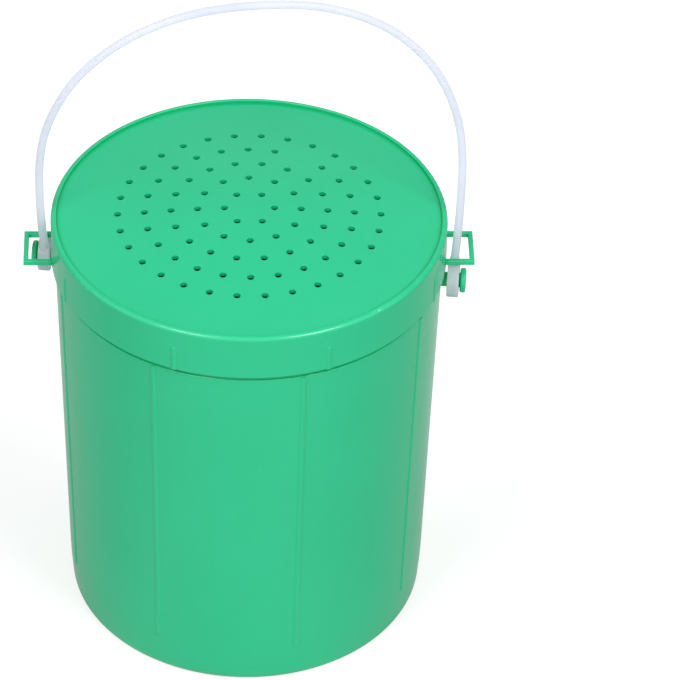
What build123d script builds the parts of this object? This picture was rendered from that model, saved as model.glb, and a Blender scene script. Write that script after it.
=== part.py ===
"""Aerated bait bucket: a tapered tub, a perforated lid and an arched bail handle.

Millimetres, +Z up. The origin is the centre of the ring that the tub stands on. The studs that
carry the handle lie on the X axis. The lid sits a few degrees round from them, and the handle,
which runs through the lid's loops, is twisted to suit.
"""

import os
from math import asin, cos, degrees, log, radians, sin

from build123d import *

# ---- driving dimensions ----------------------------------------------------------------------

# tub
overall_height = 177.4       # floor to the top of the lid's rim bead
wall = 1.5
shoulder_radius = 74.0       # outside of the tub just below the lid's skirt
base_radius = 69.65          # where the straight taper would meet the floor
tuck = 0.76                  # how far the wall curves in from that taper at its foot
tuck_height = 20.0           # height at which it starts to
base_corner = 4.0            # outside radius between wall and underside
inner_corner = 3.5           # inside radius between wall and floor
floor_thickness = 1.8
foot_ring_height = 1.2
foot_ring_width = 4.0        # flat ring that the tub stands on
neck_inset = 0.6             # the neck inside the lid stands this far in from the shoulder
neck_step = 2.3              # shoulder to the lid's skirt
shoulder_rounding = 0.35
rim_rounding = 0.4

# mark of the moulding gate, under the middle of the floor
gate_radius = 1.2
gate_dimple_radius = 5.5     # ring-shaped dimple round it
gate_dimple_depth = 0.5

# slim ribs on the tub
rib_count = 8
rib_turn = -1.0              # degrees round from halfway between the studs
rib_width = 2.4
rib_proud = 0.45
rib_bottom = 18.0            # height of their lower ends
rib_root = 0.5               # depth of their roots in the wall

# lid
skirt_depth = 18.8           # rim bead top to the skirt's lower edge
skirt_wall = 1.7
skirt_clearance = 0.35       # between the skirt and the tub's neck
skirt_rounding = 0.3
panel_thickness = 1.5
bead_width = 2.1
bead_height = 1.25           # rim bead above the edge of the panel
bead_lip = 0.4               # rounding of its inner edge, the outer one takes the rest of its width
panel_border = 0.75          # rim bead to the edge of the dome
dome_rise = 4.45             # middle of the panel above its edge
dome_spans = 6               # spans of the dome's outline
lid_turn = 6.1               # degrees that the lid sits round from the studs

# short grip ribs on the skirt
grip_count = 8
grip_width = 2.1
grip_proud = 0.4
grip_height = 9.5
grip_root = 0.5

# vent holes, in rings of 6, 12, 18, 24 and 30
vent_diameter = 2.8
vent_rings = 5
vent_first_radius = 9.5
vent_ring_pitch = 10.12
vents_in_first_ring = 6

# loops on the lid
loop_projection = 10.35      # lid's skirt to the loop's outer face
loop_width = 19.0
loop_bar = 1.8
loop_thickness = 2.0
loop_rise = 2.5              # skirt's lower edge to the middle of the loop
loop_edge = 0.3

# studs on the tub
neck_radius = 2.8
head_radius = 4.75
head_thickness = 2.2
head_edge = 0.8

# handle
rod_radius = 1.6
eyelet_radius = 6.7
eyelet_thickness = 4.5
eyelet_edge = 0.5
eyelet_headroom = 1.1        # top of the eyelet to the loop's bars
eyelet_standoff = 0.75       # lid's skirt to the eyelet
eyelet_play = 0.4            # eyelet to the stud's head
bore_clearance = 0.1         # radial, eyelet on the stud's neck
rod_inset = 0.6              # rod's foot inside the middle of the eyelet's thickness
flare_depth = 3.2            # top of the eyelet's disc down to the wide end of the flare
flare_width = 9.0
flare_inset = 0.1            # its faces in from those of the disc
flare_corner = 1.2
waist_rise = 0.5             # top of the disc up to where the flare is as narrow as the rod
waist_thickness = 3.9
flare_rise = 3.3             # top of the disc up to where it is as thin as the rod
flare_sink = 0.25            # its narrow end inside the rod's surface
bail_height = 121.5          # studs' axis to the rod's centre line at the crown
bail_bulge = 2.0             # widest reach of that line, beyond its foot
bail_widest = 43.0           # height above the studs' axis where it is widest
bail_squareness = 2.23       # exponent of the arch: 2 is an ellipse
bail_twist = 12.6            # degrees that the crown is turned from the studs
loop_gap = 1.38              # rod's surface to the bar that it passes closest in each loop
bail_sway = 1.42             # sideways shift of the crown
crown_spans = 9              # arcs from the crown to the widest point
arm_spans = 5                # arcs from there down to the foot

# ---- places worked out from them --------------------------------------------------------------

lid_top = overall_height
skirt_bottom = lid_top - skirt_depth
panel_top = lid_top - bead_height
rim_height = panel_top - panel_thickness        # top of the tub, where the panel rests
neck_outside = shoulder_radius - neck_inset
skirt_inside = neck_outside + skirt_clearance
lid_radius = skirt_inside + skirt_wall
dome_radius = lid_radius - bead_width - panel_border
bead_rounding = bead_width - bead_lip
shoulder_height = skirt_bottom - neck_step
loop_reach = lid_radius + loop_projection
loop_height = skirt_bottom + loop_rise
stud_height = loop_height - loop_thickness / 2 - eyelet_headroom - eyelet_radius
floor_top = foot_ring_height + floor_thickness
taper = (shoulder_radius - base_radius) / shoulder_height
foot_radius = base_radius - tuck
eyelet_inner = lid_radius + eyelet_standoff
eyelet_middle = eyelet_inner + eyelet_thickness / 2
head_inner = eyelet_inner + eyelet_thickness + eyelet_play
bail_foot = eyelet_middle - rod_inset
bail_half_width = bail_foot + bail_bulge
rod_offset = loop_width / 2 - loop_bar - loop_gap - rod_radius      # rod to the loop's middle line
loop_twist = lid_turn - degrees(asin(rod_offset / bail_foot))       # twist where it passes the loop
twist_growth = log(loop_twist / bail_twist) / log((loop_height - stud_height) / bail_height)


def wall_radius(z):
    """Outside radius of the tub's straight taper at height z."""
    return base_radius + taper * z


def rib(base, along, width, proud, root, length):
    """Round-backed rib that runs from base along an outside wall and ends in a dome."""
    start = Plane(origin=base, x_dir=Vector(1, 0, 0).cross(Vector(along)), z_dir=along)
    tip = start.offset(length)
    with BuildPart() as made:
        with BuildSketch(tip) as half_section:
            with BuildLine():
                TangentArc((0, proud), (width / 2, 0), tangent=(1, 0))
                Polyline((width / 2, 0), (width / 2, -root), (0, -root), (0, proud))
            make_face()
        revolve(axis=Axis(tip.origin, tip.y_dir))
        with BuildSketch(start):
            add(half_section.sketch_local)
            mirror(half_section.sketch_local, about=Plane.YZ)
        extrude(amount=length)
    return made.part


# ---- tub ---------------------------------------------------------------------------------------

def tub_profile(inset, bottom):
    """Half outline of the tub's outside, or of its hollow when inset by the wall."""
    step_height = shoulder_height - inset
    Polyline(
        (wall_radius(tuck_height) - inset, tuck_height),
        (wall_radius(step_height) - inset, step_height),
        (neck_outside - inset, step_height),
        (neck_outside - inset, rim_height),
        (0, rim_height),
        (0, bottom),
        (foot_radius - inset, bottom),
    )
    TangentArc(
        (wall_radius(tuck_height) - inset, tuck_height),
        (foot_radius - inset, bottom),
        tangent=(-taper, -1),
    )


with BuildPart() as stud:
    with BuildSketch(Plane.YZ.offset(wall_radius(stud_height) - wall / 2)):
        with Locations((0, stud_height)):
            Circle(neck_radius)
    extrude(amount=head_inner - wall_radius(stud_height) + wall / 2)
    with BuildSketch(Plane.YZ.offset(head_inner)):
        with Locations((0, stud_height)):
            Circle(head_radius)
    extrude(amount=head_thickness)
    fillet(stud.edges().filter_by(GeomType.CIRCLE).group_by(SortBy.RADIUS)[-1], radius=head_edge)

rib_top = shoulder_height - shoulder_rounding
tub_rib = rib(
    base=(wall_radius(rib_top), 0, rib_top),
    along=(-taper, 0, -1),
    width=rib_width,
    proud=rib_proud,
    root=rib_root,
    length=rib_top - rib_bottom,
)

with BuildPart() as bucket:
    with BuildSketch(Plane.XZ) as tub_section:
        with BuildLine():
            tub_profile(inset=0, bottom=0)
        make_face()
        with BuildLine():
            tub_profile(inset=wall, bottom=floor_top)
        make_face(mode=Mode.SUBTRACT)
        outer_foot = tub_section.vertices().sort_by_distance((foot_radius, 0))[0]
        fillet(outer_foot, radius=base_corner)
        inner_foot = tub_section.vertices().sort_by_distance((foot_radius - wall, floor_top))[0]
        fillet(inner_foot, radius=inner_corner)
        shoulder = tub_section.vertices().sort_by_distance((shoulder_radius, shoulder_height))[0]
        fillet(shoulder, radius=shoulder_rounding)
        fillet(tub_section.vertices().group_by(Axis.Y)[-1], radius=rim_rounding)
    revolve(axis=Axis.Z)
    Cylinder(
        foot_radius - base_corner - foot_ring_width,
        foot_ring_height,
        align=(Align.CENTER, Align.CENTER, Align.MIN),
        mode=Mode.SUBTRACT,
    )
    with BuildSketch(Plane.XY.offset(foot_ring_height)):
        Circle(gate_dimple_radius)
        Circle(gate_radius, mode=Mode.SUBTRACT)
    extrude(amount=gate_dimple_depth, mode=Mode.SUBTRACT)
    with PolarLocations(0, rib_count, start_angle=180 / rib_count + rib_turn):
        add(tub_rib)
    add(stud.part)
    mirror(stud.part, about=Plane.YZ)
bucket.part.label = "bucket"

# ---- lid ---------------------------------------------------------------------------------------


def dome_curve(edge_height):
    """Outline of a domed panel whose edge lies at edge_height, from the middle out."""
    points = []
    for i in range(dome_spans + 1):
        reach = i / dome_spans
        points.append((dome_radius * reach, edge_height + dome_rise * (1 - reach**2) ** 2))
    return Spline(*points, tangents=((1, 0), (1, 0)))


grip_rib = rib(
    base=(lid_radius, 0, skirt_bottom),
    along=(0, 0, 1),
    width=grip_width,
    proud=grip_proud,
    root=grip_root,
    length=grip_height,
)

with BuildPart() as loop:
    with BuildSketch(Plane.XY.offset(loop_height - loop_thickness / 2)):
        reach = loop_reach - skirt_inside
        with Locations((skirt_inside + reach / 2, 0)):
            Rectangle(reach, loop_width)
        with Locations((skirt_inside + (reach - loop_bar) / 2, 0)):
            Rectangle(reach - loop_bar, loop_width - 2 * loop_bar, mode=Mode.SUBTRACT)
    extrude(amount=loop_thickness)
    free_edges = loop.edges().filter_by_position(Axis.X, skirt_inside, loop_reach, inclusive=(False, True))
    fillet(free_edges, radius=loop_edge)

with BuildPart() as lid:
    with BuildSketch(Plane.XZ) as lid_section:
        with BuildLine():
            dome_curve(panel_top)
            bead_inside = lid_radius - bead_width
            Polyline((dome_radius, panel_top), (bead_inside, panel_top), (bead_inside, lid_top - bead_lip))
            TangentArc((bead_inside, lid_top - bead_lip), (bead_inside + bead_lip, lid_top), tangent=(0, 1))
            TangentArc((bead_inside + bead_lip, lid_top), (lid_radius, lid_top - bead_rounding), tangent=(1, 0))
            Polyline(
                (lid_radius, lid_top - bead_rounding),
                (lid_radius, skirt_bottom),
                (skirt_inside, skirt_bottom),
                (skirt_inside, rim_height),
                (dome_radius, rim_height),
            )
            dome_curve(rim_height)
            Line((0, rim_height + dome_rise), (0, panel_top + dome_rise))
        make_face()
        fillet(lid_section.vertices().group_by(Axis.Y)[0], radius=skirt_rounding)
    revolve(axis=Axis.Z)
    with BuildSketch(Plane.XY.offset(rim_height)):
        for ring in range(vent_rings):
            ring_radius = vent_first_radius + ring * vent_ring_pitch
            with PolarLocations(ring_radius, vents_in_first_ring * (ring + 1), start_angle=lid_turn):
                Circle(vent_diameter / 2)
    extrude(amount=2 * dome_rise, mode=Mode.SUBTRACT)
    with PolarLocations(0, grip_count, start_angle=lid_turn + 180 / grip_count):
        add(grip_rib)
    with PolarLocations(0, 2, start_angle=lid_turn):
        add(loop.part)
lid.part.label = "lid"

# ---- handle ------------------------------------------------------------------------------------


def bail_point(reach, height):
    """Point of the rod's centre line, reach out along the arch and height above the studs.

    The twist grows as a power of the height, so that it suits both the loops and the crown.
    """
    turn = radians(bail_twist) * (height / bail_height) ** twist_growth
    sway = bail_sway * height / bail_height
    return Vector(
        reach * cos(turn) + sway * cos(radians(bail_twist)),
        reach * sin(turn) + sway * sin(radians(bail_twist)),
        stud_height + height,
    )


def arm_reach(height):
    """Reach of the rod's centre line below its widest point."""
    drop = 1 - height / bail_widest
    return bail_half_width - (bail_half_width - bail_foot) * drop**2


def half_bail(side):
    """Points of the centre line from the crown down to the foot at +X or -X."""
    power = bail_squareness
    rise = bail_height - bail_widest
    points = []
    for i in range(crown_spans + 1):
        angle = radians(90 * (1 - i / crown_spans))
        across = cos(angle) / bail_half_width
        up = sin(angle) / rise
        scale = (across**power + up**power) ** (-1 / power)
        points.append(bail_point(side * scale * cos(angle), bail_widest + scale * sin(angle)))
    for i in range(1, arm_spans + 1):
        height = bail_widest * (1 - i / arm_spans)
        points.append(bail_point(side * arm_reach(height), height))
    return points


with BuildPart() as eyelet:
    with BuildSketch(Plane.YZ.offset(eyelet_inner)):
        with Locations((0, stud_height)):
            Circle(eyelet_radius)
    extrude(amount=eyelet_thickness)
    fillet(eyelet.edges().filter_by(GeomType.CIRCLE), radius=eyelet_edge)
    foot = Vector(eyelet_middle, 0, stud_height)
    waist_height, top_height = eyelet_radius + waist_rise, eyelet_radius + flare_rise
    waist = bail_point(arm_reach(waist_height), waist_height)
    flare_end = bail_point(arm_reach(top_height), top_height)
    lean = (waist - foot).normalized()
    root = foot + lean * (eyelet_radius - flare_depth)
    with BuildSketch(Plane(origin=root, x_dir=(1, 0, 0), z_dir=lean)):
        RectangleRounded(eyelet_thickness - 2 * flare_inset, flare_width, flare_corner)
    with BuildSketch(Plane(origin=waist, x_dir=(1, 0, 0), z_dir=lean)):
        Ellipse(waist_thickness / 2, rod_radius - flare_sink)
    with BuildSketch(Plane(origin=flare_end, x_dir=(1, 0, 0), z_dir=flare_end - waist)):
        Circle(rod_radius - flare_sink)
    loft(ruled=True)

with BuildPart() as handle:
    with BuildLine() as bail:
        right, left = half_bail(1), half_bail(-1)
        for points, towards in ((right, right[1] - left[1]), (left, left[1] - right[1])):
            for start, end in zip(points, points[1:]):
                arc = TangentArc(start, end, tangent=towards)
                towards = arc % 1
    rod_line = bail.wires()[0]
    with BuildSketch(Plane(origin=rod_line @ 0, z_dir=rod_line % 0)):
        Circle(rod_radius)
    sweep(path=rod_line)
    with PolarLocations(0, 2):
        add(eyelet.part)
    with BuildSketch(Plane.YZ):
        with Locations((0, stud_height)):
            Circle(neck_radius + bore_clearance)
    extrude(amount=head_inner, both=True, mode=Mode.SUBTRACT)
handle.part.label = "handle"

# ---- files -------------------------------------------------------------------------------------

os.makedirs("parts", exist_ok=True)
export_step(bucket.part, "parts/bucket.step")
export_step(lid.part, "parts/lid.step")
export_step(handle.part, "parts/handle.step")
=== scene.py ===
from math import atan, cos, radians, sin

import bpy
from mathutils import Matrix, Vector


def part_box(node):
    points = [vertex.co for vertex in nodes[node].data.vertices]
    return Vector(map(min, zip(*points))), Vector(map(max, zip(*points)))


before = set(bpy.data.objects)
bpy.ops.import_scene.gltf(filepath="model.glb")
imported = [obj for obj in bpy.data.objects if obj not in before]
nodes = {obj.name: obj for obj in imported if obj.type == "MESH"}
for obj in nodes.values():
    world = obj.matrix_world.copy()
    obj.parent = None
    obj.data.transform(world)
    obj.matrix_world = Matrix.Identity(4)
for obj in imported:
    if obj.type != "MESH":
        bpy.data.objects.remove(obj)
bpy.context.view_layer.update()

# All lengths are in metres, all noise scales in waves per metre and all paints are linear colours.

# ---- heights taken from the frame ------------------------------------------------------------------

tub_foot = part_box("bucket")[0][2]
lid_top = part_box("lid")[1][2]

# ---- camera: the photograph's station --------------------------------------------------------------

PICTURE_WIDTH = 680           # pixels
FOCAL_PIXELS = 4832.6
AXIS_COLUMN = 250             # picture column that the unturned camera looks through
SENSOR = 36.0                 # millimetres
CLIP_NEAR = 0.05
CLIP_FAR = 50
CAMERA_PLACE = Vector((0.12767, -1.45115, 1.29465))
CAMERA_TARGET = Vector((0.00075, 0.00007, 0.11595))
CAMERA_ROLL = radians(0.622)


def make_camera():
    """Camera in front of the bucket and above it, turned right so that the bucket is left of centre."""
    data = bpy.data.cameras.new("camera")
    data.sensor_width = SENSOR
    data.lens = FOCAL_PIXELS * SENSOR / PICTURE_WIDTH
    data.clip_start = CLIP_NEAR
    data.clip_end = CLIP_FAR
    camera = bpy.data.objects.new("camera", data)
    look = (CAMERA_TARGET - CAMERA_PLACE).to_track_quat("-Z", "Y").to_matrix().to_4x4()
    turn = atan((PICTURE_WIDTH / 2 - AXIS_COLUMN) / FOCAL_PIXELS)
    camera.matrix_world = (
        Matrix.Translation(CAMERA_PLACE)
        @ look
        @ Matrix.Rotation(CAMERA_ROLL, 4, "Z")
        @ Matrix.Rotation(-turn, 4, "Y")
    )
    bpy.context.scene.collection.objects.link(camera)
    bpy.context.scene.camera = camera


# ---- node helpers ----------------------------------------------------------------------------------


class Nodes:
    """Short hand for building a node tree: adds nodes, sets their sockets and links them."""

    def __init__(self, tree):
        self.tree = tree
        tree.nodes.clear()

    def add(self, kind, inputs=None, **settings):
        node = self.tree.nodes.new(kind)
        for name, value in settings.items():
            setattr(node, name, value)
        for name, value in (inputs or {}).items():
            socket = node.inputs[name]
            if isinstance(value, bpy.types.NodeSocket):
                self.tree.links.new(value, socket)
            else:
                socket.default_value = value
        return node

    def math(self, operation, first, second=0.0, third=0.0):
        node = self.add("ShaderNodeMath", {0: first, 1: second, 2: third}, operation=operation)
        return node.outputs[0]

    def noise(self, place, scale, detail, roughness=0.5):
        inputs = {"Vector": place, "Scale": scale, "Detail": detail, "Roughness": roughness}
        return self.add("ShaderNodeTexNoise", inputs).outputs["Fac"]

    def drawn_down(self, place, squeeze):
        """Coordinates squeezed along Z, so that a noise read with them is drawn out down the wall."""
        return self.add("ShaderNodeMapping", {"Vector": place, "Scale": (1, 1, squeeze)}).outputs[0]

    def ramp(self, value, low, high, bottom=0.0, top=1.0):
        """Smooth step from bottom to top as value goes from low to high."""
        inputs = {"Value": value, "From Min": low, "From Max": high, "To Min": bottom, "To Max": top}
        return self.add("ShaderNodeMapRange", inputs, interpolation_type="SMOOTHSTEP").outputs[0]

    def blend(self, share, first, second):
        node = self.add("ShaderNodeMix", {0: share, 6: first, 7: second}, data_type="RGBA")
        return node.outputs[2]

    def bump(self, relief, depth):
        """Normal of a surface whose relief, from 0 to 1, is depth high."""
        inputs = {"Height": relief, "Strength": 1.0, "Distance": depth}
        return self.add("ShaderNodeBump", inputs).outputs[0]


def new_material(name):
    material = bpy.data.materials.new(name)
    material.use_nodes = True
    return material, Nodes(material.node_tree)


# ---- green plastic of the tub and the lid ----------------------------------------------------------

DARK_GREEN = (0.011, 0.580, 0.270, 1)
LIGHT_GREEN = (0.014, 0.600, 0.284, 1)
# painted shade laid into holes, grooves and seams
CREASE_SHADE_GREEN = (0.001, 0.360, 0.060, 1)
PALE_GREEN = (0.16, 0.66, 0.42, 1)
CREASE = 0.0022               # reach of the painted shade in holes, grooves and seams
CREASE_SAMPLES = 8
CLOUD_SCALE = 22              # uneven pigment
FLOW_SCALE = 260              # flow lines of the moulding
FLOW_SQUEEZE = 0.12
FLOW_SHARE = 0.15             # of the pigment's variation
PIGMENT_RANGE = (0.3, 0.7)    # of the noise, over which the colour goes from dark to light
SCRATCH_SCALE = 2600
SCRATCH_SQUEEZE = 0.08
SCRATCH_RANGE = (0.62, 0.75)
PATCH_SCALE = 60              # where the scratches gather
PATCH_RANGE = (0.45, 0.65)
SCUFF_SCALE = 900
SCUFF_RANGE = (0.4, 0.62)
SCUFF_REACH = 0.0006          # height of a scuffed band on each side of its middle
WEAR_PALENESS = 0.1
GREEN_ROUGHNESS = 0.17
MOTTLE_SCALE = 140            # uneven gloss
MOTTLE_ROUGHNESS = 0.05
WEAR_ROUGHNESS = 0.1
WAVE_SCALE = 42               # long soft waves of a moulded wall
PEEL_SCALE = 700              # orange peel
PEEL_SHARE = 0.04             # of the height of the waves
WEAR_SHARE = -0.02            # scratches and scuffs are sunk
GREEN_RELIEF = 0.0001
GREEN_IOR = 1.45
PLAIN_SPECULAR = 0.5          # Specular IOR Level that leaves the reflection to the IOR
SPECULAR_FADE = 2             # power of the openness by which the gloss fades in creases, a painted shade of the reflection


def green_plastic(name, scuffed_heights):
    """Glossy injection-moulded polypropylene.

    The pigment is a little uneven; holes and creases get painted shade, a deeper green and a fading
    gloss.
    The surface has the soft waves and orange peel of a moulded wall and fine handling scratches, and
    it is dulled by scuffs at the given heights, where it meets other things.
    """
    material, n = new_material(name)
    place = n.add("ShaderNodeTexCoord").outputs["Object"]
    height = n.add("ShaderNodeSeparateXYZ", {0: place}).outputs["Z"]

    cloud = n.noise(place, CLOUD_SCALE, detail=3)
    flow = n.noise(n.drawn_down(place, FLOW_SQUEEZE), FLOW_SCALE, detail=2)
    pigment = n.math("MULTIPLY_ADD", flow, FLOW_SHARE, n.math("MULTIPLY", cloud, 1 - FLOW_SHARE))
    colour = n.blend(n.ramp(pigment, *PIGMENT_RANGE), DARK_GREEN, LIGHT_GREEN)

    lines = n.noise(n.drawn_down(place, SCRATCH_SQUEEZE), SCRATCH_SCALE, detail=3)
    scratches = n.ramp(lines, *SCRATCH_RANGE)
    patches = n.ramp(n.noise(place, PATCH_SCALE, detail=2), *PATCH_RANGE)
    wear = n.math("MULTIPLY", scratches, patches)
    scuffs = n.ramp(n.noise(place, SCUFF_SCALE, detail=4, roughness=0.7), *SCUFF_RANGE)
    for level in scuffed_heights:
        away = n.math("ABSOLUTE", n.math("SUBTRACT", height, level))
        near = n.ramp(away, 0, SCUFF_REACH, bottom=1, top=0)
        wear = n.math("MAXIMUM", wear, n.math("MULTIPLY", near, scuffs))
    colour = n.blend(n.math("MULTIPLY", wear, WEAR_PALENESS), colour, PALE_GREEN)
    # painted shade: ambient occlusion deepens the green in holes, grooves and seams
    occlusion = n.add("ShaderNodeAmbientOcclusion", {"Distance": CREASE}, samples=CREASE_SAMPLES)
    openness = occlusion.outputs["AO"]
    colour = n.blend(openness, CREASE_SHADE_GREEN, colour)

    mottle = n.noise(place, MOTTLE_SCALE, detail=2)
    roughness = n.math("MULTIPLY_ADD", mottle, MOTTLE_ROUGHNESS, GREEN_ROUGHNESS)
    roughness = n.math("MULTIPLY_ADD", wear, WEAR_ROUGHNESS, roughness)

    waves = n.noise(place, WAVE_SCALE, detail=1)
    peel = n.noise(place, PEEL_SCALE, detail=1)
    relief = n.math("MULTIPLY_ADD", peel, PEEL_SHARE, waves)
    relief = n.math("MULTIPLY_ADD", wear, WEAR_SHARE, relief)

    # painted shade of the reflection: the gloss fades in the same creases
    fading = n.math("POWER", openness, SPECULAR_FADE)
    shader = n.add(
        "ShaderNodeBsdfPrincipled",
        {
            "Base Color": colour,
            "Roughness": roughness,
            "IOR": GREEN_IOR,
            "Specular IOR Level": n.math("MULTIPLY", fading, PLAIN_SPECULAR),
            "Normal": n.bump(relief, GREEN_RELIEF),
        },
    )
    n.add("ShaderNodeOutputMaterial", {"Surface": shader.outputs[0]})
    return material


# ---- milky plastic of the handle -------------------------------------------------------------------

MILKY_DARK = (0.88, 0.88, 0.96, 1)
MILKY_LIGHT = (0.91, 0.91, 0.98, 1)
MILKY_SHARE = 0.62            # of the light that the milky plastic lets through
MILKY_ROUGHNESS = 0.3
MILKY_CLOUD_SCALE = 45
MILKY_CLOUD_RANGE = (0.35, 0.65)
MILKY_CLOUD_ROUGHNESS = 0.1
MILKY_WAVE_SCALE = 110
GRAIN_SCALE = 900
GRAIN_SHARE = 0.02            # of the height of the waves
MILKY_RELIEF = 0.00002
MILKY_IOR = 1.49


def milky_plastic(name):
    """Unpigmented polypropylene: milky, so that some of the light from behind comes through it."""
    material, n = new_material(name)
    place = n.add("ShaderNodeTexCoord").outputs["Object"]
    cloud = n.noise(place, MILKY_CLOUD_SCALE, detail=3)
    colour = n.blend(n.ramp(cloud, *MILKY_CLOUD_RANGE), MILKY_DARK, MILKY_LIGHT)
    grain = n.noise(place, GRAIN_SCALE, detail=2)
    waves = n.noise(place, MILKY_WAVE_SCALE, detail=1)
    relief = n.math("MULTIPLY_ADD", grain, GRAIN_SHARE, waves)
    shader = n.add(
        "ShaderNodeBsdfPrincipled",
        {
            "Base Color": colour,
            "Roughness": n.math("MULTIPLY_ADD", cloud, MILKY_CLOUD_ROUGHNESS, MILKY_ROUGHNESS),
            "IOR": MILKY_IOR,
            "Normal": n.bump(relief, MILKY_RELIEF),
        },
    )
    through = n.add("ShaderNodeBsdfTranslucent", {"Color": colour})
    mix = n.add("ShaderNodeMixShader", {0: MILKY_SHARE, 1: shader.outputs[0], 2: through.outputs[0]})
    n.add("ShaderNodeOutputMaterial", {"Surface": mix.outputs[0]})
    return material


def dress(node, material):
    mesh = nodes[node].data
    mesh.materials.clear()
    mesh.materials.append(material)


# ---- floor and world -------------------------------------------------------------------------------

WHITE = (1, 1, 1, 1)
FLOOR_HALF = 6.0
FLOOR_AHEAD = 0.62            # paint of the floor in front of the bucket and behind it
FLOOR_BESIDE = 0.38           # and at its sides, where the studio is darker
BESIDE_START = 0.5            # sine of the angle from the front at which it begins to darken
FLOOR_LIFT = 0.70             # added where it is seen, so that the open floor is white
FLOOR_MIRRORED = 0.35         # share of that in a glossy surface
SKY_FILL = 0.48               # strength of the world as a light
SKY_BEHIND = 0.68             # strength that a glossy surface mirrors behind the bucket
SKY_AHEAD = 1.9               # and on the side of the softboxes
AHEAD_END = -0.1              # Y of the direction up to which the sky counts as ahead
BEHIND_START = 0.3            # and from which it counts as behind


def seen_rays(n, mirrored):
    """1 for rays that look at the surroundings, mirrored for those of a gloss, 0 for all others."""
    path = n.add("ShaderNodeLightPath")
    gloss = n.math("MULTIPLY", path.outputs["Is Glossy Ray"], mirrored)
    direct = n.math("MAXIMUM", path.outputs["Is Camera Ray"], path.outputs["Is Transmission Ray"])
    return n.math("MAXIMUM", direct, gloss)


def make_floor():
    mesh = bpy.data.meshes.new("floor")
    corners = [(x * FLOOR_HALF, y * FLOOR_HALF, 0) for x, y in ((-1, -1), (1, -1), (1, 1), (-1, 1))]
    mesh.from_pydata(corners, [], [(0, 1, 2, 3)])
    floor = bpy.data.objects.new("floor", mesh)
    material, n = new_material("floor")
    place = n.add("ShaderNodeTexCoord").outputs["Object"]
    way = n.add("ShaderNodeVectorMath", {0: place}, operation="NORMALIZE").outputs[0]
    sideways = n.math("ABSOLUTE", n.add("ShaderNodeSeparateXYZ", {0: way}).outputs["X"])
    shade = n.ramp(sideways, BESIDE_START, 1, bottom=FLOOR_AHEAD, top=FLOOR_BESIDE)
    paint = n.add("ShaderNodeBsdfDiffuse", {"Color": shade})
    lift = n.add("ShaderNodeEmission", {"Color": WHITE, "Strength": FLOOR_LIFT})
    lifted = n.add("ShaderNodeAddShader", {0: paint.outputs[0], 1: lift.outputs[0]})
    seen = seen_rays(n, FLOOR_MIRRORED)
    mix = n.add("ShaderNodeMixShader", {0: seen, 1: paint.outputs[0], 2: lifted.outputs[0]})
    n.add("ShaderNodeOutputMaterial", {"Surface": mix.outputs[0]})
    mesh.materials.append(material)
    bpy.context.scene.collection.objects.link(floor)


def make_world():
    """White sky for the camera, dimmer as a light, with its own strengths in what a gloss mirrors."""
    world = bpy.data.worlds.new("studio")
    bpy.context.scene.world = world
    world.use_nodes = True
    n = Nodes(world.node_tree)
    way = n.add("ShaderNodeTexCoord").outputs["Generated"]
    depth = n.add("ShaderNodeSeparateXYZ", {0: way}).outputs["Y"]
    mirrored = n.ramp(depth, AHEAD_END, BEHIND_START, bottom=SKY_AHEAD, top=SKY_BEHIND)
    share = n.math("DIVIDE", n.math("SUBTRACT", mirrored, SKY_FILL), 1 - SKY_FILL)
    strength = n.math("MULTIPLY_ADD", seen_rays(n, share), 1 - SKY_FILL, SKY_FILL)
    back = n.add("ShaderNodeBackground", {"Color": WHITE, "Strength": strength})
    n.add("ShaderNodeOutputWorld", {"Surface": back.outputs[0]})


# ---- lamps -----------------------------------------------------------------------------------------

SOFTBOX_ELEVATION = 46        # degrees
SOFTBOX_DISTANCE = 1.5
SOFTBOX_SIZE = 0.5


def make_softbox(name, azimuth, power):
    """Square softbox that faces the bucket, azimuth degrees to the right of the front."""
    data = bpy.data.lights.new(name, "AREA")
    data.shape = "SQUARE"
    data.size = SOFTBOX_SIZE
    data.energy = power
    lamp = bpy.data.objects.new(name, data)
    target = Vector((0, 0, (tub_foot + lid_top) / 2))
    side = radians(azimuth)
    rise = radians(SOFTBOX_ELEVATION)
    way = Vector((sin(side) * cos(rise), -cos(side) * cos(rise), sin(rise)))
    look = (-way).to_track_quat("-Z", "Y").to_matrix().to_4x4()
    lamp.matrix_world = Matrix.Translation(target + way * SOFTBOX_DISTANCE) @ look
    bpy.context.scene.collection.objects.link(lamp)


# ---- the scene -------------------------------------------------------------------------------------

make_camera()
make_world()
make_floor()
make_softbox("left_softbox", azimuth=-32, power=7.2)
make_softbox("right_softbox", azimuth=45, power=9.4)

dress("bucket", green_plastic("bucket_green", scuffed_heights=[tub_foot]))
dress("lid", green_plastic("lid_green", scuffed_heights=[]))
dress("handle", milky_plastic("handle_milky"))

bpy.context.scene.view_settings.view_transform = "Standard"
